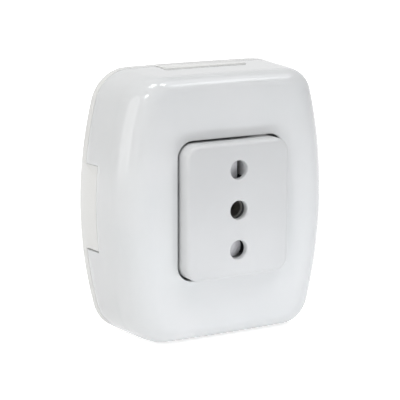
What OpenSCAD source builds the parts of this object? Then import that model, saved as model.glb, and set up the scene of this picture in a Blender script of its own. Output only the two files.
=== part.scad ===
// Surface mounted socket outlet for one plug with three round pins in line.
// The wall is the plane Y = 0, the front looks towards -Y, and the origin is the centre of the back.
// Every piece is drawn lying on its back, with its depth from the wall along its own Z, and stood up last.

/* [Body outline] */
// Width of the socket at the wall, across its middle
body_w = 59.4; // [58:0.1:66]
// Height of the socket at the wall
body_h = 64; // [63:0.1:70]
// How far the left and right sides bow out at the wall
side_bow = 5.4; // [4:0.1:6.5]
// How far they still bow out at the front of the cover
side_bow_front = 4.1; // [3:0.1:5]
// How far the top and the bottom bow out
end_bow = 0.4; // [0.2:0.1:1]
// Radius of the four corners at the wall
corner_r = 9.4; // [7:0.1:11]
// Radius of the four corners at the front of the cover
corner_r_front = 3; // [2.6:0.1:5]
// Lean of the sides for each millimetre of depth
side_draft = 0.114; // [0.05:0.001:0.15]
// Lean of the top and the bottom for each millimetre of depth
end_draft = 0.031; // [0.01:0.001:0.06]

/* [Cover] */
// Depth of the flat front from the wall
cover_d = 19.9; // [19.5:0.1:21.5]
// Wall of the cover
cover_wall = 2; // [1.6:0.1:2.3]
// Width of the broad fillet down the left and right sides, seen from the front
side_fillet_w = 7.6; // [6:0.1:8.5]
// Depth of that fillet
side_fillet_d = 8.6; // [7:0.1:9.5]
// Width of the tight fillet along the top and the bottom
end_fillet_w = 3.8; // [3:0.1:5]
// Depth of that fillet
end_fillet_d = 3.8; // [3:0.1:5]
// Gap between the window and the socket insert
window_gap = 0.55; // [0.3:0.05:0.9]
// Distance of the snap catches above and below the middle
catch_y = 16.5; // [15:0.5:18]
// Length of a snap catch
catch_l = 5; // [3:0.5:6]
// How far a catch stands in from the wall of the cover
catch_h = 0.8; // [0.5:0.1:1]
// Thickness of a catch
catch_t = 1.2; // [0.9:0.1:1.5]
// Distance from the rim of the cover to the middle of a catch
catch_rise = 1.2; // [1:0.1:1.8]

/* [Base] */
// Depth of the base's rim that shows behind the cover
seam_d = 2.8; // [2.4:0.1:3.4]
// Thickness of the base plate
floor_t = 2; // [1.6:0.1:2.2]
// Depth that the lip inside the cover reaches
lip_d = 7; // [6:0.1:8]
// Thickness of the lip
lip_t = 1.3; // [1:0.1:1.6]
// Gap between the lip and the inside of the cover
lip_gap = 0.25; // [0.15:0.05:0.4]
// Gap between the cover and the base at the seam and round the cable tabs
seam_gap = 0.15; // [0.1:0.05:0.3]
// Height of the cable tab in the left and right sides
side_tab_h = 20.2; // [16:0.1:24]
// Depth that it reaches from the wall
side_tab_d = 6.95; // [5:0.05:8]
// Width of the cable tab in the top and the bottom
end_tab_w = 21.2; // [16:0.1:24]
// Depth that it reaches from the wall
end_tab_d = 8; // [6:0.1:9]
// Wall of a cable tab, thin enough to be broken out
tab_t = 1.4; // [1:0.1:1.8]
// Distance between the wall screws, across
wall_screw_x = 38; // [34:0.5:40]
// Distance between the wall screws, up and down
wall_screw_y = 41; // [38:0.5:44]
// Width of a wall screw slot
wall_slot_w = 4.3; // [3.5:0.1:5]
// Length of a wall screw slot
wall_slot_l = 7; // [6:0.1:8]
// Outer radius of the two posts that carry the insert
post_r = 3.3; // [2.8:0.1:3.8]
// Solid foot of a post under its bore, above the base plate
post_foot = 1.4; // [1:0.1:2]
// Reach of the two gussets at each post from its middle
gusset_l = 6.3; // [5:0.1:8]
// Height of the gussets above the base plate
gusset_h = 4.6; // [3:0.1:6]
// Diameter of the thin disc for a cable from behind
rear_entry_dia = 20; // [16:0.5:24]
// Width and depth of the groove round that disc
rear_groove = 0.8; // [0.5:0.1:1.2]

/* [Socket insert] */
// Width of the insert in the window
insert_w = 27.3; // [26.6:0.1:28]
// Distance from the middle of an outer pin hole to the end of the insert
insert_end = 6.55; // [6.2:0.05:7]
// How far its face stands in front of the cover
insert_proud = 3.6; // [2.5:0.1:4]
// Radius of its four corners
insert_corner_r = 3.4; // [2.5:0.1:4]
// Radius of the edge round its face
insert_edge_r = 1.1; // [0.6:0.1:1.4]
// Thickness of the face
face_t = 1.6; // [1.3:0.1:1.8]
// Wall of the skirt behind the face
skirt_t = 1.4; // [1.2:0.1:1.6]
// Depth of the insert's front, from its face to the end of its skirt
skirt_l = 9.9; // [9:0.1:10.5]
// Play between the skirt and the body inside it
skirt_play = 0.15; // [0.1:0.05:0.2]
// Diameter of a pin hole
hole_dia = 4.5; // [4.2:0.1:4.8]
// Distance from one pin hole to the next
hole_pitch = 9.5; // [9.4:0.1:10]
// Chamfer round the mouth of a pin hole
hole_chamfer = 0.35; // [0.2:0.05:0.5]
// Distance of the snap lugs from the middle, above and below
lug_y = 7; // [5:0.5:9]
// Length of a snap lug
lug_l = 4; // [3:0.1:5]
// Thickness of a snap lug
lug_t = 1; // [0.8:0.1:1.4]
// How far a snap lug reaches into its window in the skirt
lug_reach = 0.7; // [0.5:0.05:0.9]
// Distance from the end of the skirt to a snap lug
lug_rise = 2; // [1.6:0.1:3]
// Play of a snap lug in its window
lug_play = 0.2; // [0.1:0.05:0.3]

/* [Shutters] */
// Room for the shutters behind the face
chamber_h = 4.4; // [4.2:0.1:4.8]
// Width of the upper shutter, which has a straight nose
upper_shutter_w = 5.8; // [5.4:0.1:5.8]
// Width of the lower shutter, which has a round nose
lower_shutter_w = 4.1; // [4:0.1:5]
// Play of a shutter in its channel, on every side
shutter_play = 0.15; // [0.1:0.05:0.2]
// How far the upper shutter reaches past the middle of its hole
upper_reach = 1.2; // [1:0.1:1.8]
// How far the lower shutter reaches past the middle of its hole
lower_reach = 2.6; // [2.2:0.1:2.8]
// How far the thick end of a shutter lies from the middle of its hole
shutter_tail = 6.4; // [6:0.1:6.6]
// Length of that thick end, which stops behind the guide ribs
shutter_stop_l = 1.9; // [1.5:0.1:2]
// How far the ramp starts before the edge of the hole
ramp_past = 0.65; // [0.4:0.05:0.8]
// Slope of the ramp that a pin pushes on, in degrees
ramp_slope = 19; // [15:0.5:24]
// Depth of the wall beyond the upper shutter's nose, from the inside of the face
nose_wall_l = 3.1; // [2.5:0.1:3.5]
// How far that wall reaches below the middle of its hole
nose_wall_low = 1.95; // [1.5:0.05:2.4]
// Thickness of the guide ribs
rib_t = 0.8; // [0.6:0.1:0.9]
// Outside diameter of a shutter spring
spring_dia = 2.6; // [2.2:0.1:2.8]
// Wire of a shutter spring
spring_wire = 0.4; // [0.3:0.05:0.45]
// Turns of a shutter spring
spring_turns = 8; // [6:1:9]
// Depth of the bore in a shutter that holds its spring
spring_bore_l = 3.4; // [3:0.1:3.6]

/* [Contacts] */
// Bore of a contact tube, for a pin of 4 mm
tube_bore = 4.1; // [4.05:0.05:4.3]
// Wall of a contact tube
tube_wall = 0.5; // [0.4:0.05:0.6]
// Width of the slits that make a contact tube springy
slit_w = 0.6; // [0.4:0.1:0.8]
// Thickness of the steel sleeve round a contact tube
sleeve_t = 0.45; // [0.35:0.05:0.5]
// Length of that sleeve
sleeve_l = 5; // [4:0.1:5.5]
// Opening down the side of that sleeve
sleeve_slot_w = 1.2; // [0.8:0.1:1.6]
// Distance from the sleeve of a line tube to the tube's mouth
sleeve_rise = 2.3; // [1.5:0.1:3]
// Gap between the earth tube and the face in front of it
earth_gap = 1.4; // [1:0.1:2]
// Thickness of the strip that joins a tube to its terminal
strip_t = 0.9; // [0.7:0.1:1]
// Length of a terminal block
block_l = 6.4; // [6:0.1:6.6]
// Width of a terminal block
block_w = 6.2; // [5.8:0.1:6.4]
// Wall of a terminal block behind the wire
block_wall = 1.4; // [1:0.1:2]
// Wall of the body in front of a terminal block
block_roof = 0.8; // [0.6:0.1:1.2]
// Distance from the pin to the near side of its terminal block
block_x = 5.6; // [5.5:0.1:5.7]
// Diameter of the hole for the wire
wire_dia = 3.2; // [2.8:0.1:3.4]
// Diameter of a terminal screw
terminal_screw_dia = 2.84; // [2.6:0.02:3]
// Diameter of its head
terminal_head_dia = 4.4; // [4:0.1:4.6]
// Height of its head
terminal_head_h = 1.4; // [1.2:0.1:1.6]

/* [Socket body] */
// Thickness of the rear plate that closes the body
back_t = 1.2; // [1:0.1:1.3]
// Gap between the rear plate and the base
rear_gap = 0.6; // [0.5:0.1:0.8]
// How much narrower the body is than the insert's front
body_step = 0.9; // [0.6:0.1:1.1]
// Wall between the contact tubes and the shutters
roof_t = 1.2; // [1:0.1:1.4]
// Play round the pieces that the body holds
pocket_play = 0.2; // [0.15:0.05:0.25]
// Gap between the contacts and the rear plate
contact_gap = 0.6; // [0.5:0.1:0.8]
// How far the two ears lie behind the end of the skirt
ear_drop = 0.6; // [0.4:0.1:1.5]
// Thickness of an ear
ear_t = 2; // [1.6:0.1:2.2]
// Distance of the fixing screws from the middle
ear_x = 17.6; // [17:0.1:18]
// Diameter of a fixing screw
fixing_screw_dia = 2.9; // [2.5:0.1:3]
// Diameter of its head
fixing_head_dia = 5.4; // [5:0.1:5.8]
// Height of its head
fixing_head_h = 1.8; // [1.4:0.1:2]
// Width of the slot in every screw head
driver_slot = 0.8; // [0.6:0.1:1]
// Diameter of the two pegs that hold the rear plate
peg_dia = 2.4; // [2:0.1:3]
// Distance of the pegs from the middle
peg_x = 9.2; // [8:0.1:10]

/* [Hidden] */
$fn = 64;

// Steps along each side, corner and end of a quarter of the outline, and up the fillets
side_steps = 7;
corner_steps = 9;
end_steps = 4;
fillet_steps = 12;
inner_fillet_steps = 7;
edge_steps = 5;
// Overlap where two shapes join into one piece, and past a face that a cut goes through
join = 0.4;
past = 1;
// Running gap where pieces slide or turn
run = 0.05;

half_w = body_w / 2;
half_h = body_h / 2;
insert_h = 2 * (hole_pitch + insert_end);
face_d = cover_d + insert_proud;
skirt_d = face_d - skirt_l;
chamber_front = face_d - face_t;
chamber_back = chamber_front - chamber_h;
back_d = floor_t + rear_gap;
body_d = back_d + back_t;
lip_out = cover_wall + lip_gap;
lip_in = lip_out + lip_t;
rim_d = seam_d + seam_gap;
window_w = insert_w + 2 * window_gap;
window_h = insert_h + 2 * window_gap;
cavity_w = insert_w - 2 * skirt_t;
cavity_h = insert_h - 2 * skirt_t;
neck_w = cavity_w - 2 * skirt_play;
neck_h = cavity_h - 2 * skirt_play;
lower_w = insert_w - body_step;
lower_h = insert_h - body_step;
catch_d = rim_d + catch_rise;

tube_r = tube_bore / 2 + tube_wall;
sleeve_r = tube_r + run / 2;
well_r = sleeve_r + sleeve_t + pocket_play;
well_top = chamber_back - roof_t;
tube_d = body_d + contact_gap;
line_tube_top = well_top - pocket_play;
earth_tube_top = chamber_front - earth_gap;
sleeve_d = line_tube_top - sleeve_rise - sleeve_l;
slit_d = sleeve_d - pocket_play;
block_top = skirt_d - block_roof - pocket_play;
pad_t = strip_t;
wire_d = (tube_d + block_top) / 2;
screw_x = block_x + block_l / 2;

shutter_front = chamber_front - shutter_play;
shutter_back = chamber_back + shutter_play;
rib_end = shutter_tail - shutter_stop_l - run;
spring_r = (spring_dia - spring_wire) / 2;
spring_d = (shutter_front + shutter_back) / 2;
spring_start = -cavity_w / 2 + run;
spring_end = -shutter_tail + spring_bore_l - run;
nose_wall_x = hole_dia / 2 + run;

ear_d = skirt_d - ear_drop - ear_t;
post_top = ear_d;
post_bore_r = fixing_screw_dia / 2 + run;
post_bore_d = floor_t + post_foot;

cover_white = [0.93, 0.94, 0.95];
base_white = [0.91, 0.91, 0.89];
insert_white = [0.90, 0.91, 0.92];
shutter_grey = [0.78, 0.78, 0.79];
inner_grey = [0.22, 0.22, 0.23];
brass = [0.80, 0.68, 0.38];
nickel = [0.75, 0.75, 0.73];
steel = [0.68, 0.69, 0.70];

// Points of an arc in steps, leaving out its first point when another arc already ends there
function arc(centre, r, from, to, steps, first = 1) =
    [for (i = [first:steps])
        let (t = from + (to - from) * i / steps)
        centre + r * [cos(t), sin(t)]];

// Radius of an arc over a half chord with a given bow
function bow_r(half, bow) = (half * half + bow * bow) / (2 * bow);

// Centre of the corner circle that touches the side arc and the end arc from inside
function corner_centre(cs, ct, rs, rt, rc) =
    let (
        line = ct - cs,
        gap = norm(line),
        unit = line / gap,
        reach_s = rs - rc,
        reach_t = rt - rc,
        along = (reach_s * reach_s - reach_t * reach_t + gap * gap) / (2 * gap),
        off = sqrt(reach_s * reach_s - along * along)
    )
    cs + along * unit + off * [-unit.y, unit.x];

// A quarter of the outline: side arc, corner arc and end arc, each running smoothly into the next
function quarter(w, h, bow, top_bow, rc) =
    let (
        rs = bow_r(h, bow),
        rt = bow_r(w, top_bow),
        cs = [w - rs, 0],
        ct = [0, h - rt],
        c = corner_centre(cs, ct, rs, rt, rc),
        from = atan2(c.y - cs.y, c.x - cs.x),
        to = atan2(c.y - ct.y, c.x - ct.x)
    )
    concat(
        arc(cs, rs, 0, from, side_steps, 0),
        arc(c, rc, from, to, corner_steps),
        arc(ct, rt, to, 90, end_steps));

// The whole outline from its first quarter, mirrored across both middles
function four(q) =
    let (n = len(q) - 1)
    concat(
        q,
        [for (i = [1:n]) [-q[n - i].x, q[n - i].y]],
        [for (i = [1:n]) [-q[i].x, -q[i].y]],
        [for (i = [1:n - 1]) [q[n - i].x, -q[n - i].y]]);

// How far a drafted wall with an elliptical fillet has come in at a depth
function inset(d, draft, top, fillet_w, fillet_d) =
    let (
        start = top - fillet_d,
        t = min(1, max(0, (d - start) / fillet_d))
    )
    draft * min(d, start) + fillet_w * (1 - sqrt(1 - t * t));

// One ring of the shell: its outline at a depth from the wall, moved in by a wall thickness
function ring(d, wall) =
    let (
        side = inset(d, side_draft, cover_d - wall, side_fillet_w - wall, side_fillet_d - wall),
        end = inset(d, end_draft, cover_d - wall, end_fillet_w - wall, end_fillet_d - wall),
        whole = side_draft * (cover_d - side_fillet_d) + side_fillet_w - wall,
        share = min(1, side / whole),
        bow = side_bow + (side_bow_front - side_bow) * share,
        rc = corner_r + (corner_r_front - corner_r) * share - wall
    )
    [for (p = four(quarter(half_w - wall - side, half_h - wall - end, bow, end_bow, max(rc, join))))
        [p.x, p.y, d]];

// One ring of a rectangle with round corners
function box_ring(w, h, r, d) =
    [for (p = four(arc([w / 2 - r, h / 2 - r], r, 0, 90, corner_steps, 0))) [p.x, p.y, d]];

// A closed solid through rings of equal length, with its first ring towards the front or within
module loft(rings) {
    n = len(rings[0]);
    last = len(rings) - 1;
    polyhedron(
        points = [for (r = rings) each r],
        faces = concat(
            [[for (i = [n - 1:-1:0]) i]],
            [for (k = [0:last - 1], i = [0:n - 1])
                let (a = k * n + i, b = k * n + (i + 1) % n)
                each [[a, b, b + n], [a, b + n, a + n]]],
            [[for (i = [0:n - 1]) last * n + i]]),
        convexity = 8);
}

// Stands a piece up: its depth runs out from the wall towards the front
module stand() {
    rotate([90, 0, 0]) children();
}

// A block between two corners
module block(low, high) {
    translate(low) cube(high - low);
}

// A round bar or bore along the depth
module rod(x, y, r, from, to) {
    translate([x, y, from]) cylinder(h = to - from, r = r);
}

// A round bar or bore across the socket
module cross_rod(y, d, r, from, to) {
    translate([from, y, d]) rotate([0, 90, 0]) cylinder(h = to - from, r = r);
}

// A rectangle with round corners, from true circles
module rounded(w, h, r) {
    square([w - 2 * r, h], center = true);
    square([w, h - 2 * r], center = true);
    for (x = [-1, 1], y = [-1, 1]) translate([x * (w / 2 - r), y * (h / 2 - r)]) circle(r);
}

// A prism with that section
module rounded_bar(w, h, r, from, to) {
    translate([0, 0, from]) linear_extrude(to - from) rounded(w, h, r);
}

// Puts a shape at the four catches, with its X pointing out through the wall of the cover
module at_catches() {
    r = bow_r(half_h, side_bow);
    turn = asin(catch_y / r);
    for (x = [0, 1], y = [-1, 1]) mirror([x, 0, 0])
        translate([half_w - r, 0, 0]) rotate(y * turn)
            translate([r - side_draft * catch_d, 0, catch_d]) children();
}

// Places of the wall screws
module at_wall_screws() {
    for (x = [-1, 1], y = [-1, 1])
        translate([x * wall_screw_x / 2, y * wall_screw_y / 2, 0]) children();
}

// The cable tab in each side follows the drafted wall, so it is cut from the shell's own form
module side_tabs() {
    intersection() {
        loft([ring(side_tab_d, 0), ring(seam_d - join, 0)]);
        for (x = [0, 1]) mirror([x, 0, 0])
            block(
                [half_w - lip_in - side_draft * lip_d + join, -side_tab_h / 2, 0],
                [half_w, side_tab_h / 2, side_tab_d]);
    }
}

// The tab in each end has a flat outer face
module end_tabs() {
    for (y = [0, 1]) mirror([0, y, 0])
        block(
            [-end_tab_w / 2, half_h - lip_in + join, seam_d - join],
            [end_tab_w / 2, half_h, end_tab_d]);
}

// Room behind each tab, open to the inside, which leaves the tab as a thin wall
module tab_rooms() {
    side_sag = bow_r(half_h, side_bow) - sqrt(pow(bow_r(half_h, side_bow), 2) - pow(side_tab_h / 2, 2));
    for (x = [0, 1]) mirror([x, 0, 0])
        block(
            [half_w - lip_in - side_draft * lip_d - past, -side_tab_h / 2 + tab_t, floor_t],
            [half_w - tab_t - side_sag - side_draft * side_tab_d, side_tab_h / 2 - tab_t, lip_d + past]);
    for (y = [0, 1]) mirror([0, y, 0])
        block(
            [-end_tab_w / 2 + tab_t, half_h - lip_in - end_draft * lip_d - past, floor_t],
            [end_tab_w / 2 - tab_t, half_h - tab_t, end_tab_d + past]);
}

// Base: one moulding that is screwed to the wall
module base() {
    color(base_white) stand() difference() {
        union() {
            loft([ring(floor_t, lip_in), ring(lip_d, lip_in), ring(lip_d, lip_out),
                ring(seam_d, lip_out), ring(seam_d, 0), ring(0, 0)]);
            side_tabs();
            end_tabs();
            for (x = [-1, 1]) {
                rod(x * ear_x, 0, post_r, floor_t - join, post_top);
                block(
                    [x * ear_x - rib_t, -gusset_l, floor_t - join],
                    [x * ear_x + rib_t, gusset_l, min(floor_t + gusset_h, post_top)]);
            }
        }
        tab_rooms();
        for (x = [-1, 1]) rod(x * ear_x, 0, post_bore_r, post_bore_d, post_top + past);
        at_wall_screws() {
            slot_half = (wall_slot_l - wall_slot_w) / 2;
            for (x = [-1, 1]) rod(x * slot_half, 0, wall_slot_w / 2, -past, floor_t + past);
            block([-slot_half, -wall_slot_w / 2, -past], [slot_half, wall_slot_w / 2, floor_t + past]);
        }
        difference() {
            rod(0, 0, rear_entry_dia / 2, -past, rear_groove);
            rod(0, 0, rear_entry_dia / 2 - rear_groove, -past, rear_groove);
        }
        at_catches() block(
            [-lip_in - past, -catch_l / 2 - lip_gap, -catch_t / 2 - lip_gap],
            [-lip_out + lip_gap / 2, catch_l / 2 + lip_gap, catch_t / 2 + lip_gap]);
    }
}

// Depths of the rings up a fillet, close together where it turns into the flat front
function climb(top, fillet_d, steps) =
    [for (i = [0:steps]) top - fillet_d * (1 - sin(90 * i / steps))];

// Cover: one domed shell, from its flat front out and down to the rim and up again inside
module cover() {
    outer = climb(cover_d, side_fillet_d, fillet_steps);
    inner = climb(cover_d - cover_wall, side_fillet_d - cover_wall, inner_fillet_steps);
    color(cover_white) stand() difference() {
        union() {
            loft(concat(
                [for (i = [fillet_steps:-1:0]) ring(outer[i], 0)],
                [ring(rim_d, 0)],
                [ring(rim_d, cover_wall)],
                [for (d = inner) ring(d, cover_wall)]));
            at_catches() block(
                [-cover_wall - catch_h, -catch_l / 2, -catch_t / 2],
                [-cover_wall + join, catch_l / 2, catch_t / 2]);
        }
        rounded_bar(window_w, window_h, insert_corner_r + window_gap,
            cover_d - cover_wall - past, cover_d + past);
        for (x = [0, 1]) mirror([x, 0, 0])
            block(
                [half_w - lip_in - past, -side_tab_h / 2 - seam_gap, 0],
                [half_w + past, side_tab_h / 2 + seam_gap, side_tab_d + seam_gap]);
        for (y = [0, 1]) mirror([0, y, 0])
            block(
                [-end_tab_w / 2 - seam_gap, half_h - lip_in - past, 0],
                [end_tab_w / 2 + seam_gap, half_h + past, end_tab_d + seam_gap]);
    }
}

// Places of the snap lugs that hold the front to the body
module at_lugs() {
    for (x = [0, 1], y = [-1, 1]) mirror([x, 0, 0])
        translate([neck_w / 2, y * lug_y, skirt_d + lug_rise]) children();
}

// Half the width of the channel of the upper (1) or lower (-1) shutter, which also clears its pin hole
function rib_gap(row) =
    max((row > 0 ? upper_shutter_w : lower_shutter_w) / 2 + shutter_play, hole_dia / 2 + run);

// Front of the insert: face with three pin holes, a skirt, and the guide ribs of the shutters
module socket_front() {
    color(insert_white) stand() difference() {
        union() {
            difference() {
                loft(concat(
                    [for (i = [edge_steps:-1:0])
                        let (t = 90 * i / edge_steps, in = insert_edge_r * (1 - cos(t)))
                        box_ring(insert_w - 2 * in, insert_h - 2 * in, insert_corner_r - in,
                            face_d - insert_edge_r * (1 - sin(t)))],
                    [box_ring(insert_w, insert_h, insert_corner_r, skirt_d)]));
                rounded_bar(cavity_w, cavity_h, insert_corner_r - skirt_t, skirt_d - past, chamber_front);
            }
            for (row = [-1, 1], side = [-1, 1])
                translate([0, row * hole_pitch + side * (rib_gap(row) + rib_t / 2), 0])
                    block(
                        [-rib_end, -rib_t / 2, chamber_back + shutter_play],
                        [rib_end, rib_t / 2, chamber_front + join]);
            translate([nose_wall_x, hole_pitch, 0])
                block(
                    [0, -nose_wall_low, chamber_front - nose_wall_l],
                    [rib_t, rib_gap(1) + join, chamber_front + join]);
        }
        for (y = [-1:1]) {
            rod(0, y * hole_pitch, hole_dia / 2, chamber_front - past, face_d + past);
            translate([0, y * hole_pitch, face_d - hole_chamfer])
                cylinder(h = hole_chamfer * 2, r1 = hole_dia / 2, r2 = hole_dia / 2 + hole_chamfer * 2);
        }
        at_lugs() block(
            [0, -lug_l / 2 - lug_play, -lug_play],
            [skirt_t + past, lug_l / 2 + lug_play, lug_t + lug_play]);
    }
}

// Side of each terminal: the line terminals lie to the right and the earth terminal to the left
function turn_of(row) = row == 0 ? 180 : 0;

// Puts a shape at the upper (1), earth (0) or lower (-1) pin, with its terminal along the shape's own X
module at_pin(row) {
    translate([0, row * hole_pitch, 0]) rotate(turn_of(row)) children();
}

// Places of the two pegs on the body that hold the rear plate
module at_pegs() {
    for (y = [-1, 1]) translate([-peg_x, y * hole_pitch, 0]) children();
}

// Body of the insert: wells for the contact tubes, pockets for the terminals, and two ears
module socket_body() {
    color(inner_grey) stand() difference() {
        union() {
            rounded_bar(lower_w, lower_h, insert_corner_r, body_d, skirt_d - run);
            rounded_bar(neck_w, neck_h, insert_corner_r - skirt_t, skirt_d - join, chamber_back);
            rod(0, 0, well_r + rib_t, chamber_back - join, chamber_front - shutter_play);
            for (x = [-1, 1]) {
                rod(x * ear_x, 0, post_r, ear_d, ear_d + ear_t);
                block(
                    [min(x * ear_x, x * lower_w / 2 - x * join), -post_r, ear_d],
                    [max(x * ear_x, x * lower_w / 2 - x * join), post_r, ear_d + ear_t]);
            }
            at_lugs() block([-join, -lug_l / 2, 0], [lug_reach, lug_l / 2, lug_t]);
            at_pegs() rod(0, 0, peg_dia / 2, back_d, body_d + join);
        }
        for (x = [-1, 1])
            rod(x * ear_x, 0, fixing_screw_dia / 2 + 2 * run, ear_d - past, ear_d + ear_t + past);
        for (row = [-1:1]) at_pin(row) {
            rod(0, 0, well_r, body_d - past, well_top);
            block(
                [0, -strip_t / 2 - pocket_play, body_d - past],
                [block_x, strip_t / 2 + pocket_play, slit_d + pocket_play]);
            block(
                [block_x - pad_t - pocket_play, -block_w / 2 - pocket_play, body_d - past],
                [block_x + block_l + pocket_play, block_w / 2 + pocket_play, block_top + pocket_play]);
            cross_rod(0, wire_d, wire_dia / 2 + pocket_play, block_x + block_l, lower_w / 2 + past);
        }
        for (y = [-1, 1])
            rod(0, y * hole_pitch, hole_dia / 2 + pocket_play, well_top - past, chamber_back + past);
        rod(0, 0, tube_r + pocket_play, well_top - past, chamber_front);
    }
}

// Rear plate: closes the wells, with a hole for each terminal screw
module socket_back() {
    color(inner_grey) stand() difference() {
        rounded_bar(lower_w, lower_h, insert_corner_r, back_d, body_d - run);
        for (row = [-1:1]) at_pin(row)
            rod(screw_x, 0, terminal_head_dia / 2 + pocket_play, back_d - past, body_d + past);
        at_pegs() rod(0, 0, peg_dia / 2 + run, back_d - past, body_d + past);
    }
}

// Bore in the thick end of a shutter that holds its spring
module spring_bore() {
    cross_rod(0, spring_d, spring_dia / 2 + shutter_play,
        -shutter_tail - past, -shutter_tail + spring_bore_l);
}

// Shutter: a wedge that the pin pushes aside, with a thick end that stops behind the ribs
module shutter(w, reach) {
    top = shutter_front - shutter_back;
    ramp_start = -hole_dia / 2 - ramp_past;
    nose_h = top - (reach - ramp_start) * tan(ramp_slope);
    translate([0, w / 2, shutter_back]) rotate([90, 0, 0]) linear_extrude(w)
        polygon([[-shutter_tail, 0], [-shutter_tail, top], [ramp_start, top], [reach, nose_h], [reach, 0]]);
    block(
        [-shutter_tail, -w / 2 - rib_t, shutter_back],
        [-shutter_tail + shutter_stop_l, w / 2 + rib_t, shutter_front]);
}

module upper_shutter() {
    color(shutter_grey) stand() translate([0, hole_pitch, 0]) difference() {
        shutter(upper_shutter_w, upper_reach);
        spring_bore();
    }
}

// The nose of the lower shutter is rounded off over its whole width
module lower_shutter() {
    nose_r = lower_shutter_w / 2;
    color(shutter_grey) stand() translate([0, -hole_pitch, 0]) difference() {
        shutter(lower_shutter_w, lower_reach);
        spring_bore();
        difference() {
            block([lower_reach - nose_r, -nose_r - past, 0], [lower_reach + past, nose_r + past, face_d]);
            rod(lower_reach - nose_r, 0, nose_r, -past, face_d + past);
        }
    }
}

// Compression spring from the side of the chamber to the bottom of the shutter's bore
module shutter_spring(y) {
    per_turn = 12;
    sides = 6;
    steps = per_turn * spring_turns;
    from = spring_start + spring_wire / 2;
    pitch = (spring_end - spring_wire / 2 - from) / steps;
    centre = [for (k = [0:steps])
        let (t = 360 * k / per_turn)
        [from + pitch * k, spring_r * cos(t), spring_r * sin(t)]];
    n = sides;
    color(steel) stand() translate([0, y, spring_d]) loft(
        [for (k = [0:steps])
            let (t = 360 * k / per_turn, out = [0, cos(t), sin(t)])
            [for (i = [0:n - 1])
                let (a = -360 * i / n)
                centre[k] + spring_wire / 2 * (cos(a) * out + sin(a) * [1, 0, 0])]]);
}

module upper_shutter_spring() {
    shutter_spring(hole_pitch);
}

module lower_shutter_spring() {
    shutter_spring(-hole_pitch);
}

// Contact: a slit tube for the pin, a strip on edge, and a pad against the terminal block
module contact(row, top) {
    color(brass) stand() at_pin(row) difference() {
        union() {
            rod(0, 0, tube_r, tube_d, top);
            block([0, -strip_t / 2, tube_d], [block_x - pad_t / 2, strip_t / 2, slit_d - pocket_play]);
            block(
                [block_x - pad_t, -block_w / 2 + pocket_play, tube_d],
                [block_x - run, block_w / 2 - pocket_play, block_top - pocket_play]);
        }
        rod(0, 0, tube_bore / 2, tube_d - past, top + past);
        block([-slit_w / 2, -tube_r - past, slit_d], [slit_w / 2, tube_r + past, top + past]);
    }
}

module upper_contact() {
    contact(1, line_tube_top);
}

module earth_contact() {
    contact(0, earth_tube_top);
}

module lower_contact() {
    contact(-1, line_tube_top);
}

// Sleeve: an open ring of spring steel that presses the slit tube onto the pin
module sleeve(row) {
    color(steel) stand() at_pin(row) difference() {
        rod(0, 0, sleeve_r + sleeve_t, sleeve_d, sleeve_d + sleeve_l);
        rod(0, 0, sleeve_r, sleeve_d - past, sleeve_d + sleeve_l + past);
        block(
            [-tube_r - past, -sleeve_slot_w / 2, sleeve_d - past],
            [0, sleeve_slot_w / 2, sleeve_d + sleeve_l + past]);
    }
}

module upper_sleeve() {
    sleeve(1);
}

module earth_sleeve() {
    sleeve(0);
}

module lower_sleeve() {
    sleeve(-1);
}

// Terminal block: the wire goes in from the side, and the screw from behind presses on it
module terminal_block(row) {
    color(nickel) stand() at_pin(row) difference() {
        block([block_x, -block_w / 2, tube_d], [block_x + block_l, block_w / 2, block_top]);
        cross_rod(0, wire_d, wire_dia / 2, block_x + block_wall, block_x + block_l + past);
        rod(screw_x, 0, terminal_screw_dia / 2 + run, tube_d - past, wire_d);
    }
}

module upper_terminal_block() {
    terminal_block(1);
}

module earth_terminal_block() {
    terminal_block(0);
}

module lower_terminal_block() {
    terminal_block(-1);
}

// Terminal screw, with its slotted head in the rear plate
module terminal_screw(row) {
    head_d = tube_d - run;
    color(steel) stand() at_pin(row) difference() {
        union() {
            rod(screw_x, 0, terminal_head_dia / 2, head_d - terminal_head_h, head_d);
            rod(screw_x, 0, terminal_screw_dia / 2, head_d - terminal_head_h / 2, wire_d);
        }
        block(
            [screw_x - terminal_head_dia, -driver_slot / 2, head_d - terminal_head_h - past],
            [screw_x + terminal_head_dia, driver_slot / 2, head_d - terminal_head_h / 2]);
    }
}

module upper_terminal_screw() {
    terminal_screw(1);
}

module earth_terminal_screw() {
    terminal_screw(0);
}

module lower_terminal_screw() {
    terminal_screw(-1);
}

// Fixing screw: holds an ear of the body on its post
module fixing_screw(side) {
    seat = ear_d + ear_t;
    color(steel) stand() difference() {
        union() {
            rod(side * ear_x, 0, fixing_head_dia / 2, seat, seat + fixing_head_h);
            rod(side * ear_x, 0, fixing_screw_dia / 2, post_bore_d + past, seat + fixing_head_h / 2);
        }
        block(
            [side * ear_x - fixing_head_dia, -driver_slot / 2, seat + fixing_head_h / 2],
            [side * ear_x + fixing_head_dia, driver_slot / 2, seat + fixing_head_h + past]);
    }
}

module left_fixing_screw() {
    fixing_screw(-1);
}

module right_fixing_screw() {
    fixing_screw(1);
}

base();
cover();
socket_front();
socket_body();
socket_back();
upper_shutter();
lower_shutter();
upper_shutter_spring();
lower_shutter_spring();
upper_contact();
earth_contact();
lower_contact();
upper_sleeve();
earth_sleeve();
lower_sleeve();
upper_terminal_block();
earth_terminal_block();
lower_terminal_block();
upper_terminal_screw();
earth_terminal_screw();
lower_terminal_screw();
left_fixing_screw();
right_fixing_screw();
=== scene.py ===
import math

import bmesh
import bpy
from mathutils import Matrix, Vector


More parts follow.
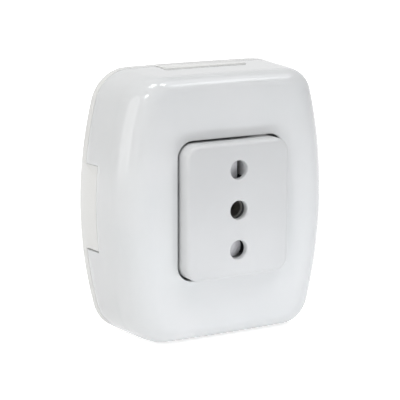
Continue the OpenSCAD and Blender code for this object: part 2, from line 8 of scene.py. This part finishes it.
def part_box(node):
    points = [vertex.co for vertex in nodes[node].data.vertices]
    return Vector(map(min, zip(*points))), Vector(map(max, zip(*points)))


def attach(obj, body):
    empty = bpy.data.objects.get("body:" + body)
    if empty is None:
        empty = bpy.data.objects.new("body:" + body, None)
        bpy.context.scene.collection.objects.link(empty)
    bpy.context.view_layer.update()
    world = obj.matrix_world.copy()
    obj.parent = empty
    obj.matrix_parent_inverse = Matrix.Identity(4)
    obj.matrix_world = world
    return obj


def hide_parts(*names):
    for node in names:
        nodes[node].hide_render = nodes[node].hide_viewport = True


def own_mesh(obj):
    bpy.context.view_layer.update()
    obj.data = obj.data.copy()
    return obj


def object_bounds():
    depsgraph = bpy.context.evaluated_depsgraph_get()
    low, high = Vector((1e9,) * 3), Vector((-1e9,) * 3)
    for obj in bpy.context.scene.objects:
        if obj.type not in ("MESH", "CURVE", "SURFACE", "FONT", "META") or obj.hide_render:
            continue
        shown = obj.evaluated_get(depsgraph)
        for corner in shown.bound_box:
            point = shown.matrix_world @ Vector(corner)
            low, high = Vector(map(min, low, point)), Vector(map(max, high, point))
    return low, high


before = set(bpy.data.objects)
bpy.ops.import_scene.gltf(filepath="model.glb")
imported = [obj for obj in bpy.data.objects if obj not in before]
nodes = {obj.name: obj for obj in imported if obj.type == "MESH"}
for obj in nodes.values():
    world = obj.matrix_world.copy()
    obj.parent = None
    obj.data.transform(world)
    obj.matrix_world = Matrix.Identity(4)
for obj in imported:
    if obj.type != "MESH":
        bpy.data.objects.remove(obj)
cad_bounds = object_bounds()
bpy.ops.object.select_all(action="DESELECT")


# Camera. It looks at the socket from the left and a little from above, as the photograph does, through a
# long lens of about 143 mm on a 36 mm frame.
MM = 0.001
FRAME_PX = 400
SENSOR_MM = 36.0
FOCAL_PX = 1594.0
YAW_DEG = 29.24
PITCH_DEG = 12.19
ROLL_DEG = 0.14
AIM_DEPTH = 13.0
DISTANCE = 378.9
SLIDE_RIGHT = -4.0
SLIDE_UP = 0.44

yaw = math.radians(YAW_DEG)
pitch = math.radians(PITCH_DEG)
camera_back = Vector((-math.sin(yaw) * math.cos(pitch), -math.cos(yaw) * math.cos(pitch), math.sin(pitch)))
level_right = (-camera_back).cross(Vector((0, 0, 1))).normalized()
level_up = level_right.cross(-camera_back)
roll = math.radians(ROLL_DEG)
camera_right = level_right * math.cos(roll) + level_up * math.sin(roll)
camera_up = level_up * math.cos(roll) - level_right * math.sin(roll)
camera_data = bpy.data.cameras.new("camera")
camera_data.sensor_fit = "HORIZONTAL"
camera_data.sensor_width = SENSOR_MM
camera_data.lens = SENSOR_MM * FOCAL_PX / FRAME_PX
camera_data.clip_start = 0.02
camera_data.clip_end = 20.0
camera = bpy.data.objects.new("camera", camera_data)
bpy.context.scene.collection.objects.link(camera)
stand_off = camera_back * DISTANCE + camera_right * SLIDE_RIGHT + camera_up * SLIDE_UP
place = (Vector((0, -AIM_DEPTH, 0)) + stand_off) * MM
axes = Matrix((camera_right, camera_up, camera_back)).transposed()
camera.matrix_world = Matrix.Translation(place) @ axes.to_4x4()
bpy.context.scene.camera = camera


# Cover. One shell moulded in glossy ABS, with a dome of broad fillets down its sides and tight ones along its
# top and bottom. It snaps over the base's lip, and a notch in each of its four sides leaves room for a tab.
BODY_W = 59.4
BODY_H = 64.0
SIDE_BOW = 5.4
SIDE_BOW_FRONT = 4.1
END_BOW = 0.4
CORNER_R = 9.4
CORNER_R_FRONT = 3.0
SIDE_DRAFT = 0.114
END_DRAFT = 0.031
COVER_D = 19.9
COVER_WALL = 2.0
SIDE_FILLET_W = 7.6
SIDE_FILLET_D = 8.6
END_FILLET_W = 3.8
END_FILLET_D = 3.8
SEAM_D = 1.8
SEAM_GAP = 0.1
TAB_GAP = 0.08
TAB_GAP_LOW = 0.42
WINDOW_GAP = 0.55
WINDOW_EDGE_R = 0.3
INSERT_W = 27.3
INSERT_H = 32.1
INSERT_CORNER_R = 3.4
SIDE_TAB_H = 20.2
SIDE_TAB_D = 6.95
END_TAB_W = 21.2
END_TAB_D = 8.0
TAB_CUT_IN = 5.0

SIDE_STEPS = 16
CORNER_STEPS = 18
END_STEPS = 12


def arc(centre, radius, start, stop, steps, first):
    """Points of an arc, from its first step on."""
    turns = [start + (stop - start) * i / steps for i in range(first, steps + 1)]
    return [centre + radius * Vector((math.cos(t), math.sin(t))) for t in turns]


def bow_radius(half, bow):
    return (half * half + bow * bow) / (2 * bow)


def mirrored(quarter):
    """The whole outline from its first quarter, across both middles."""
    last = len(quarter) - 1
    outline = list(quarter)
    outline += [Vector((-quarter[last - i].x, quarter[last - i].y)) for i in range(1, last + 1)]
    outline += [Vector((-quarter[i].x, -quarter[i].y)) for i in range(1, last + 1)]
    outline += [Vector((quarter[last - i].x, -quarter[last - i].y)) for i in range(1, last)]
    return outline


def bowed_outline(half_w, half_h, bow, end_bow, corner_r):
    """Side arc, corner arc and end arc, each tangent to the next."""
    side_r = bow_radius(half_h, bow)
    end_r = bow_radius(half_w, end_bow)
    side_c = Vector((half_w - side_r, 0))
    end_c = Vector((0, half_h - end_r))
    line = end_c - side_c
    gap = line.length
    unit = line / gap
    side_reach = side_r - corner_r
    end_reach = end_r - corner_r
    along = (side_reach ** 2 - end_reach ** 2 + gap ** 2) / (2 * gap)
    off = math.sqrt(side_reach ** 2 - along ** 2)
    corner_c = side_c + unit * along + Vector((-unit.y, unit.x)) * off
    start = math.atan2((corner_c - side_c).y, (corner_c - side_c).x)
    stop = math.atan2((corner_c - end_c).y, (corner_c - end_c).x)
    quarter = arc(side_c, side_r, 0, start, SIDE_STEPS, 0)
    quarter += arc(corner_c, corner_r, start, stop, CORNER_STEPS, 1)
    quarter += arc(end_c, end_r, stop, math.pi / 2, END_STEPS, 1)
    return mirrored(quarter)


def box_outline(width, height, corner_r):
    """A rectangle with round corners, with as many points along each stretch as the bowed outline has."""
    side = height / 2 - corner_r
    end = width / 2 - corner_r
    quarter = [Vector((width / 2, side * i / SIDE_STEPS)) for i in range(SIDE_STEPS + 1)]
    quarter += arc(Vector((end, side)), corner_r, 0, math.pi / 2, CORNER_STEPS, 1)
    quarter += [Vector((end * (1 - i / END_STEPS), height / 2)) for i in range(1, END_STEPS + 1)]
    return mirrored(quarter)


def fillet_inset(depth, draft, top, fillet_w, fillet_d):
    """How far a leaning wall with an elliptical fillet has come in at a depth."""
    start = top - fillet_d
    t = min(1.0, max(0.0, (depth - start) / fillet_d))
    return draft * min(depth, start) + fillet_w * (1 - math.sqrt(1 - t * t))


def shell_ring(depth, wall):
    """One level of the shell at a depth from the wall, moved in by a wall thickness."""
    top = COVER_D - wall
    side = fillet_inset(depth, SIDE_DRAFT, top, SIDE_FILLET_W - wall, SIDE_FILLET_D - wall)
    end = fillet_inset(depth, END_DRAFT, top, END_FILLET_W - wall, END_FILLET_D - wall)
    whole = SIDE_DRAFT * (COVER_D - SIDE_FILLET_D) + SIDE_FILLET_W - wall
    share = min(1.0, side / whole)
    bow = SIDE_BOW + (SIDE_BOW_FRONT - SIDE_BOW) * share
    corner_r = max(CORNER_R + (CORNER_R_FRONT - CORNER_R) * share - wall, 0.4)
    outline = bowed_outline(BODY_W / 2 - wall - side, BODY_H / 2 - wall - end, bow, END_BOW, corner_r)
    return [Vector((p.x, -depth, p.y)) for p in outline]


def box_ring(width, height, corner_r, depth):
    return [Vector((p.x, -depth, p.y)) for p in box_outline(width, height, corner_r)]


def wrap(name, rings):
    """Lays a grid round a closed run of rings and joins it along its seam."""
    round_n = len(rings[0])
    bpy.ops.mesh.primitive_grid_add(x_subdivisions=round_n, y_subdivisions=len(rings), size=MM)
    piece = bpy.context.object
    piece.name = name
    flat = []
    for ring in rings + rings[:1]:
        for point in ring + ring[:1]:
            flat += (point * MM)[:]
    piece.data.vertices.foreach_set("co", flat)
    bpy.ops.object.mode_set(mode="EDIT")
    bpy.ops.mesh.select_all(action="SELECT")
    bpy.ops.mesh.remove_doubles(threshold=0.001 * MM)
    bpy.ops.mesh.normals_make_consistent(inside=False)
    bpy.ops.object.mode_set(mode="OBJECT")
    return piece


def settle(piece):
    """Puts a piece's place into its mesh, with its object at the origin."""
    bpy.ops.object.select_all(action="DESELECT")
    piece.select_set(True)
    bpy.context.view_layer.objects.active = piece
    bpy.ops.object.transform_apply(location=True, rotation=True, scale=True)
    return piece


def apply_all(piece):
    """Applies every modifier of a piece."""
    bpy.ops.object.select_all(action="DESELECT")
    piece.select_set(True)
    bpy.context.view_layer.objects.active = piece
    for modifier in list(piece.modifiers):
        bpy.ops.object.modifier_apply(modifier=modifier.name)


def combine(piece, operation, others):
    """Joins shapes to a piece (UNION) or cuts them out of it (DIFFERENCE), and clears them away."""
    for other in others:
        modifier = piece.modifiers.new("combine", "BOOLEAN")
        modifier.operation = operation
        modifier.solver = "EXACT"
        modifier.object = other
    apply_all(piece)
    for other in others:
        bpy.data.objects.remove(other)


def cube_between(low, high):
    """A box primitive between two corners, given across, up and in depth."""
    middle = [(a + b) / 2 for a, b in zip(low, high)]
    bpy.ops.mesh.primitive_cube_add(size=1, location=(middle[0] * MM, -middle[2] * MM, middle[1] * MM))
    box = bpy.context.object
    box.scale = [(high[0] - low[0]) * MM, (high[2] - low[2]) * MM, (high[1] - low[1]) * MM]
    return settle(box)


def soften(piece, width, segments, degrees):
    """Rounds the crisp edges a little, as a mould leaves them, and shades the rest smooth."""
    bevel = piece.modifiers.new("edges", "BEVEL")
    bevel.width = width * MM
    bevel.segments = segments
    bevel.limit_method = "ANGLE"
    bevel.angle_limit = math.radians(degrees)
    bevel.use_clamp_overlap = True
    apply_all(piece)
    bpy.ops.object.shade_smooth_by_angle(angle=math.radians(degrees), keep_sharp_edges=True)


def linear(hex_colour):
    """An sRGB hex colour as linear RGBA."""
    parts = [int(hex_colour[i:i + 2], 16) / 255 for i in (1, 3, 5)]
    return [p / 12.92 if p <= 0.04045 else ((p + 0.055) / 1.055) ** 2.4 for p in parts] + [1.0]


def node(tree, kind, settings=None, links=None):
    """Adds a node, sets its properties and input values, and links sources to its inputs."""
    made = tree.nodes.new(kind)
    for key, value in (settings or {}).items():
        if isinstance(key, int) or key in made.inputs:
            made.inputs[key].default_value = value
        else:
            setattr(made, key, value)
    for key, source in (links or {}).items():
        tree.links.new(source, made.inputs[key])
    return made


def new_material(name):
    material = bpy.data.materials.new(name)
    material.use_nodes = True
    material.node_tree.nodes.clear()
    return material, material.node_tree


def moulded_plastic(name, colour, deep_colour, roughness, peel_mm, peel_depth_mm, sheen_spread):
    """Injection moulded plastic: an even colour that drifts a little, and a faint orange peel in its gloss."""
    material, tree = new_material(name)
    place = node(tree, "ShaderNodeTexCoord").outputs["Object"]
    drift = node(tree, "ShaderNodeTexNoise", {"Scale": 1 / (14 * MM), "Detail": 2.0}, {"Vector": place})
    tint = node(tree, "ShaderNodeValToRGB", None, {"Fac": drift.outputs["Fac"]})
    tint.color_ramp.elements[0].color = linear(deep_colour)
    tint.color_ramp.elements[0].position = 0.3
    tint.color_ramp.elements[1].color = linear(colour)
    tint.color_ramp.elements[1].position = 0.7
    flow = node(tree, "ShaderNodeTexNoise", {"Scale": 1 / (5 * MM), "Detail": 3.0}, {"Vector": place})
    gloss = node(
        tree, "ShaderNodeMapRange",
        {"To Min": roughness - sheen_spread, "To Max": roughness + sheen_spread},
        {"Value": flow.outputs["Fac"]})
    peel = node(tree, "ShaderNodeTexNoise", {"Scale": 1 / (peel_mm * MM), "Detail": 1.5}, {"Vector": place})
    bump = node(
        tree, "ShaderNodeBump", {"Strength": 1.0, "Distance": peel_depth_mm * MM},
        {"Height": peel.outputs["Fac"]})
    shader = node(
        tree, "ShaderNodeBsdfPrincipled", {"IOR": 1.53},
        {"Base Color": tint.outputs["Color"], "Roughness": gloss.outputs["Result"], "Normal": bump.outputs["Normal"]})
    node(tree, "ShaderNodeOutputMaterial", None, {"Surface": shader.outputs["BSDF"]})
    return material


def wear(piece, material):
    """Gives a piece one material all over."""
    piece.data.materials.clear()
    piece.data.materials.append(material)


# The rings run from the outer rim up and over the dome, through the window and down the inside again.
FILLET_STEPS = 22
INNER_STEPS = 10
LIP_STEPS = 4
rim_d = SEAM_D + SEAM_GAP
fillet_start = COVER_D - SIDE_FILLET_D
window_w = INSERT_W + 2 * WINDOW_GAP
window_h = INSERT_H + 2 * WINDOW_GAP
window_r = INSERT_CORNER_R + WINDOW_GAP
wall_levels = [rim_d + (fillet_start - rim_d) * i / 4 for i in range(4)]
dome_levels = [COVER_D - SIDE_FILLET_D * (1 - math.sin(math.pi / 2 * i / FILLET_STEPS)) for i in range(FILLET_STEPS + 1)]
inner_top = COVER_D - COVER_WALL
inner_levels = [
    inner_top - (SIDE_FILLET_D - COVER_WALL) * (1 - math.sin(math.pi / 2 * i / INNER_STEPS))
    for i in range(INNER_STEPS, -1, -1)]
rings = [shell_ring(d, 0) for d in wall_levels + dome_levels]
for i in range(LIP_STEPS + 1):
    t = math.pi / 2 * i / LIP_STEPS
    out = WINDOW_EDGE_R * (1 - math.sin(t))
    down = WINDOW_EDGE_R * (1 - math.cos(t))
    rings.append(box_ring(window_w + 2 * out, window_h + 2 * out, window_r + out, COVER_D - down))
rings.append(box_ring(window_w, window_h, window_r, inner_top))
rings += [shell_ring(d, COVER_WALL) for d in inner_levels]
rings.append(shell_ring(rim_d, COVER_WALL))
cover = wrap("cover_shell", rings)
notches = []
for side in (-1, 1):
    near = side * (BODY_W / 2 + 2)
    far = side * (BODY_W / 2 - TAB_CUT_IN)
    half = SIDE_TAB_H / 2
    notches.append(cube_between(
        (min(near, far), -half - TAB_GAP_LOW, 0), (max(near, far), half + TAB_GAP, SIDE_TAB_D + TAB_GAP)))
    near = side * (BODY_H / 2 + 2)
    far = side * (BODY_H / 2 - TAB_CUT_IN)
    half = END_TAB_W / 2 + TAB_GAP
    notches.append(cube_between((-half, min(near, far), 0), (half, max(near, far), END_TAB_D + TAB_GAP)))
combine(cover, "DIFFERENCE", notches)
soften(cover, 0.12, 2, 35)
cover_abs = moulded_plastic("cover_abs_glossy", "#E4E5E5", "#E1E3E3", 0.12, 1.4, 0.001, 0.02)
wear(cover, cover_abs)
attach(cover, "root")
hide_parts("cover")


# Base. One flat moulding in a slightly warmer, less glossy ABS. Its rim shows behind the cover, and its cable
# tabs fill the notches of the cover.
def merged_copy(name, source):
    """A copy of a part's mesh, with its split points merged."""
    piece = bpy.data.objects.new(name, nodes[source].data.copy())
    bpy.context.scene.collection.objects.link(piece)
    bpy.ops.object.select_all(action="DESELECT")
    piece.select_set(True)
    bpy.context.view_layer.objects.active = piece
    bpy.ops.object.mode_set(mode="EDIT")
    bpy.ops.mesh.select_all(action="SELECT")
    bpy.ops.mesh.remove_doubles(threshold=0.002 * MM)
    bpy.ops.object.mode_set(mode="OBJECT")
    return piece


def join_flats(piece):
    """Takes slivers and the lines across flat areas out of a mesh."""
    bpy.ops.object.mode_set(mode="EDIT")
    bpy.ops.mesh.select_all(action="SELECT")
    bpy.ops.mesh.remove_doubles(threshold=0.01 * MM)
    bpy.ops.mesh.dissolve_degenerate(threshold=0.01 * MM)
    bpy.ops.mesh.select_all(action="SELECT")
    bpy.ops.mesh.dissolve_limited(angle_limit=math.radians(0.5))
    bpy.ops.object.mode_set(mode="OBJECT")


# The cover comes down past the step of its outer strip, which is cut back to the seam except at the tabs.
STEP_D = 2.8
LIP_OUT = 2.25
base = merged_copy("base_moulding", "base")
beyond_step = STEP_D + 0.3
strip = wrap("strip", [
    shell_ring(SEAM_D, -1), shell_ring(beyond_step, -1),
    shell_ring(beyond_step, LIP_OUT - 0.03), shell_ring(SEAM_D, LIP_OUT - 0.03)])
tab_places = []
for side in (-1, 1):
    low = min(side * BODY_W / 2 * 0.7, side * (BODY_W / 2 + 3))
    high = max(side * BODY_W / 2 * 0.7, side * (BODY_W / 2 + 3))
    tab_places.append(cube_between((low, -SIDE_TAB_H / 2, 0), (high, SIDE_TAB_H / 2, 5)))
    low = min(side * BODY_H / 2 * 0.7, side * (BODY_H / 2 + 3))
    high = max(side * BODY_H / 2 * 0.7, side * (BODY_H / 2 + 3))
    tab_places.append(cube_between((-END_TAB_W / 2, low, 0), (END_TAB_W / 2, high, 5)))
combine(strip, "DIFFERENCE", tab_places)
combine(base, "DIFFERENCE", [strip])
join_flats(base)
soften(base, 0.15, 2, 35)
base_abs = moulded_plastic("base_abs_satin", "#EDEDEA", "#EAEAE7", 0.18, 1.0, 0.0015, 0.03)
wear(base, base_abs)
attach(base, "root")
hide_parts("base")


# Front of the insert. A box moulded in semi-gloss polycarbonate, with a soft edge round its face and three
# holes whose mouths are rounded.
FACE_D = 23.5
SKIRT_D = 13.6
FACE_T = 1.6
SKIRT_T = 1.4
INSERT_EDGE_R = 1.1
HOLE_R = 2.25
HOLE_PITCH = 9.5
HOLE_MOUTH_R = 0.32
HOLE_SIDES = 64
EDGE_STEPS = 8
RIB_T = 0.8
RIB_END = 4.45
RIB_BACK_D = 17.65
RIB_GAPS = {1: 3.05, -1: 2.3}
NOSE_WALL_X = 2.3
NOSE_WALL_LOW = 1.95
NOSE_WALL_BACK_D = 18.8
LUG_Y = 7.0
LUG_HALF = 2.2
LUG_NEAR_D = 15.4
LUG_FAR_D = 16.8

front_levels = [math.pi / 2 * i / EDGE_STEPS for i in range(EDGE_STEPS + 1)]
front_rings = [box_ring(INSERT_W, INSERT_H, INSERT_CORNER_R, SKIRT_D)]
for t in front_levels:
    inset = INSERT_EDGE_R * (1 - math.cos(t))
    depth = FACE_D - INSERT_EDGE_R * (1 - math.sin(t))
    front_rings.append(box_ring(INSERT_W - 2 * inset, INSERT_H - 2 * inset, INSERT_CORNER_R - inset, depth))


def capped(name, rings):
    """Lays a grid over open rings and closes both ends with a flat face."""
    round_n = len(rings[0])
    bpy.ops.mesh.primitive_grid_add(x_subdivisions=round_n, y_subdivisions=len(rings) - 1, size=MM)
    piece = bpy.context.object
    piece.name = name
    flat = []
    for ring in rings:
        for point in ring + ring[:1]:
            flat += (point * MM)[:]
    piece.data.vertices.foreach_set("co", flat)
    bpy.ops.object.mode_set(mode="EDIT")
    bpy.ops.mesh.select_all(action="SELECT")
    bpy.ops.mesh.remove_doubles(threshold=0.001 * MM)
    bpy.ops.mesh.select_all(action="DESELECT")
    bpy.ops.mesh.select_mode(type="EDGE")
    bpy.ops.mesh.select_non_manifold()
    bpy.ops.mesh.edge_face_add()
    bpy.ops.mesh.select_all(action="SELECT")
    bpy.ops.mesh.normals_make_consistent(inside=False)
    bpy.ops.object.mode_set(mode="OBJECT")
    return piece


def bar_along_depth(x, z, radius, near, far, sides):
    """A cylinder primitive along the depth."""
    bpy.ops.mesh.primitive_cylinder_add(
        vertices=sides, radius=radius * MM, depth=(far - near) * MM,
        location=(x * MM, -(near + far) / 2 * MM, z * MM), rotation=(math.pi / 2, 0, 0))
    return settle(bpy.context.object)


insert = capped("insert_front", front_rings)
cavity = capped("cavity", [
    box_ring(INSERT_W - 2 * SKIRT_T, INSERT_H - 2 * SKIRT_T, INSERT_CORNER_R - SKIRT_T, SKIRT_D - 1),
    box_ring(INSERT_W - 2 * SKIRT_T, INSERT_H - 2 * SKIRT_T, INSERT_CORNER_R - SKIRT_T, FACE_D - FACE_T)])
combine(insert, "DIFFERENCE", [cavity])
guides = []
for row, gap in RIB_GAPS.items():
    for side in (-1, 1):
        middle = row * HOLE_PITCH + side * (gap + RIB_T / 2)
        guides.append(cube_between(
            (-RIB_END, middle - RIB_T / 2, RIB_BACK_D),
            (RIB_END, middle + RIB_T / 2, FACE_D - FACE_T + 0.4)))
guides.append(cube_between(
    (NOSE_WALL_X, HOLE_PITCH - NOSE_WALL_LOW, NOSE_WALL_BACK_D),
    (NOSE_WALL_X + RIB_T, HOLE_PITCH + RIB_GAPS[1] + 0.4, FACE_D - FACE_T + 0.4)))
combine(insert, "UNION", guides)
holes = [
    bar_along_depth(0, row * HOLE_PITCH, HOLE_R, FACE_D - FACE_T - 0.5, FACE_D + 1, HOLE_SIDES)
    for row in (-1, 0, 1)]
for side in (-1, 1):
    near = side * (INSERT_W / 2 - SKIRT_T - 0.15)
    far = side * (INSERT_W / 2 + 1)
    for up in (-LUG_Y, LUG_Y):
        holes.append(cube_between(
            (min(near, far), up - LUG_HALF, LUG_NEAR_D), (max(near, far), up + LUG_HALF, LUG_FAR_D)))
combine(insert, "DIFFERENCE", holes)
bpy.ops.object.mode_set(mode="EDIT")
bpy.ops.mesh.select_mode(type="EDGE")
bpy.ops.mesh.select_all(action="DESELECT")
edit = bmesh.from_edit_mesh(insert.data)
for edge in edit.edges:
    spots = [v.co / MM for v in edge.verts]
    on_face = all(abs(s.y + FACE_D) < 0.01 for s in spots)
    on_rim = any(
        all(math.hypot(s.x, s.z - row * HOLE_PITCH) < HOLE_R + 0.02 for s in spots) for row in (-1, 0, 1))
    edge.select_set(on_face and on_rim)
bmesh.update_edit_mesh(insert.data)
bpy.ops.mesh.bevel(offset=HOLE_MOUTH_R * MM, segments=5, profile=0.5, affect="EDGES")
bpy.ops.object.mode_set(mode="OBJECT")
bpy.ops.object.shade_smooth_by_angle(angle=math.radians(35), keep_sharp_edges=True)
insert_plastic = moulded_plastic("insert_polycarbonate", "#D5D6D6", "#D2D3D3", 0.3, 0.9, 0.0018, 0.04)
wear(insert, insert_plastic)
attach(insert, "root")
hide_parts("socket_front")


# Body and rear plate of the insert. Both are moulded in dark glass-filled nylon, with a dull, slightly grainy
# surface.
body_nylon = moulded_plastic("body_nylon_grained", "#6E6F72", "#66676A", 0.5, 0.5, 0.006, 0.06)
for name in ("socket_body", "socket_back"):
    wear(nodes[name], body_nylon)


# Shutters. Two small wedges moulded in grey acetal, which slide aside when a pin pushes on them.
shutter_acetal = moulded_plastic("shutter_acetal_waxy", "#F0F0F2", "#EAEAEC", 0.4, 0.6, 0.002, 0.04)
for name in ("upper_shutter", "lower_shutter"):
    wear(nodes[name], shutter_acetal)


def worked_metal(name, colour, dark_colour, roughness, grain_mm, spread):
    """A worked metal surface: a dull patina in patches and fine drawing lines in the gloss."""
    material, tree = new_material(name)
    place = node(tree, "ShaderNodeTexCoord").outputs["Object"]
    patina = node(tree, "ShaderNodeTexNoise", {"Scale": 1 / (2.5 * MM), "Detail": 4.0}, {"Vector": place})
    tint = node(tree, "ShaderNodeValToRGB", None, {"Fac": patina.outputs["Fac"]})
    tint.color_ramp.elements[0].color = linear(dark_colour)
    tint.color_ramp.elements[0].position = 0.35
    tint.color_ramp.elements[1].color = linear(colour)
    tint.color_ramp.elements[1].position = 0.65
    grain = node(tree, "ShaderNodeTexNoise", {"Scale": 1 / (grain_mm * MM), "Detail": 2.0}, {"Vector": place})
    gloss = node(
        tree, "ShaderNodeMapRange", {"To Min": roughness - spread, "To Max": roughness + spread},
        {"Value": grain.outputs["Fac"]})
    bump = node(tree, "ShaderNodeBump", {"Strength": 1.0, "Distance": 0.002 * MM}, {"Height": grain.outputs["Fac"]})
    shader = node(
        tree, "ShaderNodeBsdfPrincipled", {"Metallic": 1.0},
        {"Base Color": tint.outputs["Color"], "Roughness": gloss.outputs["Result"], "Normal": bump.outputs["Normal"]})
    node(tree, "ShaderNodeOutputMaterial", None, {"Surface": shader.outputs["BSDF"]})
    return material


# Contacts. Tubes rolled from brass strip, each pressed together by an open sleeve of spring steel.
contact_brass = worked_metal("contact_brass_rolled", "#D9B872", "#B58F4C", 0.3, 0.2, 0.08)
nickel_plate = worked_metal("terminal_nickel_plate", "#E6E4E0", "#D2D0CB", 0.42, 0.25, 0.08)
spring_steel = worked_metal("spring_steel_drawn", "#A7A9AC", "#85878A", 0.3, 0.15, 0.08)
zinc_plate = worked_metal("screw_zinc_plate", "#C7CACC", "#A5A9AC", 0.3, 0.2, 0.08)
for row in ("upper", "earth", "lower"):
    wear(nodes[row + "_contact"], nickel_plate if row == "earth" else contact_brass)
    wear(nodes[row + "_sleeve"], spring_steel)
    wear(nodes[row + "_terminal_block"], nickel_plate)
    wear(nodes[row + "_terminal_screw"], zinc_plate)
for side in ("left", "right"):
    wear(nodes[side + "_fixing_screw"], zinc_plate)


# Shutter springs. Coils of drawn steel wire between the skirt and the shutter, which squeeze them as it slides aside.
# Here each is a smooth copy of its part, fixed to the root.
SHUTTER_TRAVEL = {"upper": 3.6, "lower": 5.0}
for row, travel in SHUTTER_TRAVEL.items():
    low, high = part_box(row + "_shutter_spring")
    spring = merged_copy(row + "_coil", row + "_shutter_spring")
    bpy.ops.object.shade_smooth_by_angle(angle=math.radians(60), keep_sharp_edges=True)
    wear(spring, spring_steel)
    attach(spring, "root")
    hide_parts(row + "_shutter_spring")
    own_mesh(spring)


# Studio. A pale floor under the socket, white all round, and soft lamps.
def area_lamp(name, position, target, width, height, power, colour):
    """A soft rectangular lamp aimed at a point, with positions in millimetres."""
    data = bpy.data.lights.new(name, "AREA")
    data.shape = "RECTANGLE"
    data.size = width * MM
    data.size_y = height * MM
    data.energy = power
    data.color = linear(colour)[:3]
    lamp = bpy.data.objects.new(name, data)
    bpy.context.scene.collection.objects.link(lamp)
    away = Vector(position) - Vector(target)
    lamp.location = Vector(position) * MM
    lamp.rotation_mode = "QUATERNION"
    lamp.rotation_quaternion = away.to_track_quat("Z", "Y")
    return lamp


def seen_white(tree):
    """1 for what the camera, a reflection or a clear material sees, and 0 for what lights the object."""
    path = node(tree, "ShaderNodeLightPath")
    either = node(
        tree, "ShaderNodeMath", {"operation": "MAXIMUM"},
        {0: path.outputs["Is Camera Ray"], 1: path.outputs["Is Glossy Ray"]})
    return node(
        tree, "ShaderNodeMath", {"operation": "MAXIMUM"},
        {0: either.outputs["Value"], 1: path.outputs["Is Transmission Ray"]}).outputs["Value"]


FLOOR_SIZE = 4000.0
FLOOR_LIFT = 0.72
SHADOW_NEAR = 70.0
SHADOW_FAR = 260.0
ROOM_LIGHT = 0.1
floor_z = min(cad_bounds[0].z, -BODY_H / 2 * MM)
bpy.ops.mesh.primitive_plane_add(size=FLOOR_SIZE * MM, location=(0, 0, floor_z))
floor = bpy.context.object
floor.name = "floor"
floor_paint, floor_tree = new_material("floor_paper")
diffuse = node(floor_tree, "ShaderNodeBsdfDiffuse", {"Color": linear("#F4F4F4")})
floor_place = node(floor_tree, "ShaderNodeTexCoord").outputs["Object"]
away = node(floor_tree, "ShaderNodeVectorMath", {"operation": "LENGTH"}, {0: floor_place})
glow_level = node(
    floor_tree, "ShaderNodeMapRange",
    {"From Min": SHADOW_NEAR * MM, "From Max": SHADOW_FAR * MM, "To Min": FLOOR_LIFT, "To Max": 1.0},
    {"Value": away.outputs["Value"]})
lift = node(
    floor_tree, "ShaderNodeMath", {"operation": "MULTIPLY"},
    {0: seen_white(floor_tree), 1: glow_level.outputs["Result"]})
glow = node(floor_tree, "ShaderNodeEmission", {"Color": linear("#FFFFFF")}, {"Strength": lift.outputs["Value"]})
both = node(floor_tree, "ShaderNodeAddShader", None, {0: diffuse.outputs["BSDF"], 1: glow.outputs["Emission"]})
node(floor_tree, "ShaderNodeOutputMaterial", None, {"Surface": both.outputs["Shader"]})
wear(floor, floor_paint)

world = bpy.data.worlds.new("studio")
bpy.context.scene.world = world
world.use_nodes = True
world.node_tree.nodes.clear()
level = node(
    world.node_tree, "ShaderNodeMapRange", {"To Min": ROOM_LIGHT, "To Max": 1.0},
    {"Value": seen_white(world.node_tree)})
sky = node(
    world.node_tree, "ShaderNodeBackground", {"Color": linear("#FFFFFF")},
    {"Strength": level.outputs["Result"]})
node(world.node_tree, "ShaderNodeOutputWorld", None, {"Surface": sky.outputs["Background"]})

AIM = (0, -12, 0)
SOFTBOX = 400
SMALL_BOX = 120
STAND_OFF = 600


def softbox(name, azimuth, elevation, size, power, colour):
    """A square softbox aimed at the socket, from an angle to its front and above the floor."""
    side = math.radians(azimuth)
    rise = math.radians(elevation)
    spot = (
        STAND_OFF * math.sin(side) * math.cos(rise),
        AIM[1] - STAND_OFF * math.cos(side) * math.cos(rise),
        STAND_OFF * math.sin(rise))
    return area_lamp(name, spot, AIM, size, size, power, colour)


def reflector(name, position, target, width, height, power):
    """A white card that bounces light onto the front or the back, and is not seen itself."""
    card = area_lamp(name, position, target, width, height, power, "#F8FAFF")
    card.visible_camera = False
    card.visible_glossy = False


softbox("left_low_softbox", -90, 15, SOFTBOX, 0.89, "#FFFEFD")
softbox("left_front_softbox", -60, 15, SOFTBOX, 0.2, "#FFFEFD")
softbox("right_top_softbox", 45, 58, SOFTBOX, 0.93, "#FAFBFF")
softbox("front_lamp", -52, 31, SMALL_BOX, 0.39, "#FBFCFF")
softbox("left_top_lamp", -60, 70, 190, 0.88, "#FFFFFF")
softbox("top_lamp", 10, 66, SMALL_BOX, 0.46, "#FFFFFF")
softbox("right_lamp", 45, 48, SMALL_BOX, 0.125, "#FAFBFF")
reflector("front_card", (0, -70, -27), (0, -20, 10), 90, 8, 0.0115)
reflector("right_card", (60, -80, -28), (10, -20, 5), 90, 8, 0.0068)
reflector("back_card", (0, 500, 40), (0, 0, 0), 300, 80, 0.55)

bpy.context.scene.view_settings.view_transform = "Standard"
